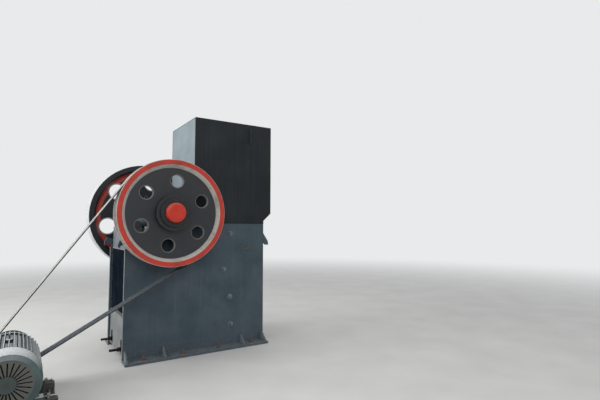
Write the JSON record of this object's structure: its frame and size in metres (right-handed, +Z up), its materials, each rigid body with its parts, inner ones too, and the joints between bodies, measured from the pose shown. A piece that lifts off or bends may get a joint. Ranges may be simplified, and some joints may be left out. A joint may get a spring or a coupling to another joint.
{
  "type": "jaw crusher with feed chute and belt drive",
  "caption": "Jaw crusher between thick side plates, with a grooved drive wheel, flywheel, feed chute, V-belts and motor.",
  "frame": {"origin": "middle of the crusher's anchor bolts, on the ground", "axes": "+X from the motor to the feed end, +Y along the crusher shaft away from the drive wheel, +Z up"},
  "size_m": [4.827, 3.825, 4.28],
  "materials": {
    "frame_paint": "slate-blue machine paint, dusty",
    "chute_paint": "dark slate paint on plate",
    "bearing_steel": "turned",
    "rod_steel": "blackened and oily",
    "cast_grey": "painted casting",
    "manganese_steel": "cast, worn by stone",
    "spring_black": "black enamel",
    "belt_rubber": "matt, worn",
    "motor_paint": "green-grey enamel",
    "wheel_iron": "dark grey paint with red rim faces",
    "cap_paint": "red enamel"
  },
  "bodies": {
    "frame": {"side_plate_near": "frame_paint", "side_plate_far": "frame_paint", "front_wall": "frame_paint", "toggle_beam": "frame_paint", "rear_guard": "frame_paint", "rear_hood": "frame_paint", "foot_near": "frame_paint", "foot_far": "frame_paint", "front_lugs": "frame_paint", "rear_lugs": "frame_paint", "bearing_seat_near": "frame_paint", "bearing_seat_far": "frame_paint", "bearing_housing_near": "frame_paint", "bearing_housing_far": "frame_paint", "main_bearing_near": "bearing_steel", "main_bearing_far": "bearing_steel", "bearing_cover_near": "cast_grey", "bearing_cover_far": "cast_grey", "fixed_jaw_plate": "manganese_steel", "fixed_jaw_clamp": "cast_grey", "swing_jaw": "frame_paint", "swing_jaw_plate": "manganese_steel", "swing_jaw_clamp": "cast_grey", "cheek_plates": "manganese_steel", "toggle_plate": "cast_grey", "toggle_seats": "cast_grey", "adjusting_wedges": "cast_grey", "tension_rods": "rod_steel", "tension_springs": "spring_black", "chute_near": "chute_paint", "chute_far": "chute_paint", "chute_front": "chute_paint", "chute_rear": "chute_paint", "chute_mouth_flange": "chute_paint", "chute_top_flange": "chute_paint", "v_belts": "belt_rubber", "motor_housing": "motor_paint", "motor_end_shield": "motor_paint", "motor_fan_cowl": "motor_paint", "motor_terminal_box": "motor_paint", "slide_rail_near": "cast_grey", "slide_rail_far": "cast_grey"},
    "crusher_rotor": {"eccentric_shaft": "bearing_steel", "drive_sheave": "wheel_iron", "flywheel": "wheel_iron", "hub_caps": "cap_paint"},
    "motor_rotor": {"motor_shaft": "bearing_steel", "motor_pulley": "wheel_iron", "motor_fan": "cast_grey"}
  },
  "joints": [
    {"name": "crusher_spin", "type": "hinge", "parent": "frame", "child": "crusher_rotor", "pos_m": [-0.632, 0, 2.47], "axis": [0, 1, 0], "continuous": true},
    {"name": "motor_spin", "type": "hinge", "parent": "frame", "child": "motor_rotor", "pos_m": [-2.832, -1.015, 0.5], "axis": [0, 1, 0], "continuous": true}
  ],
  "couplings": [
    {"joint": "motor_spin", "follows": "crusher_spin", "ratio": 3.3519}
  ]
}
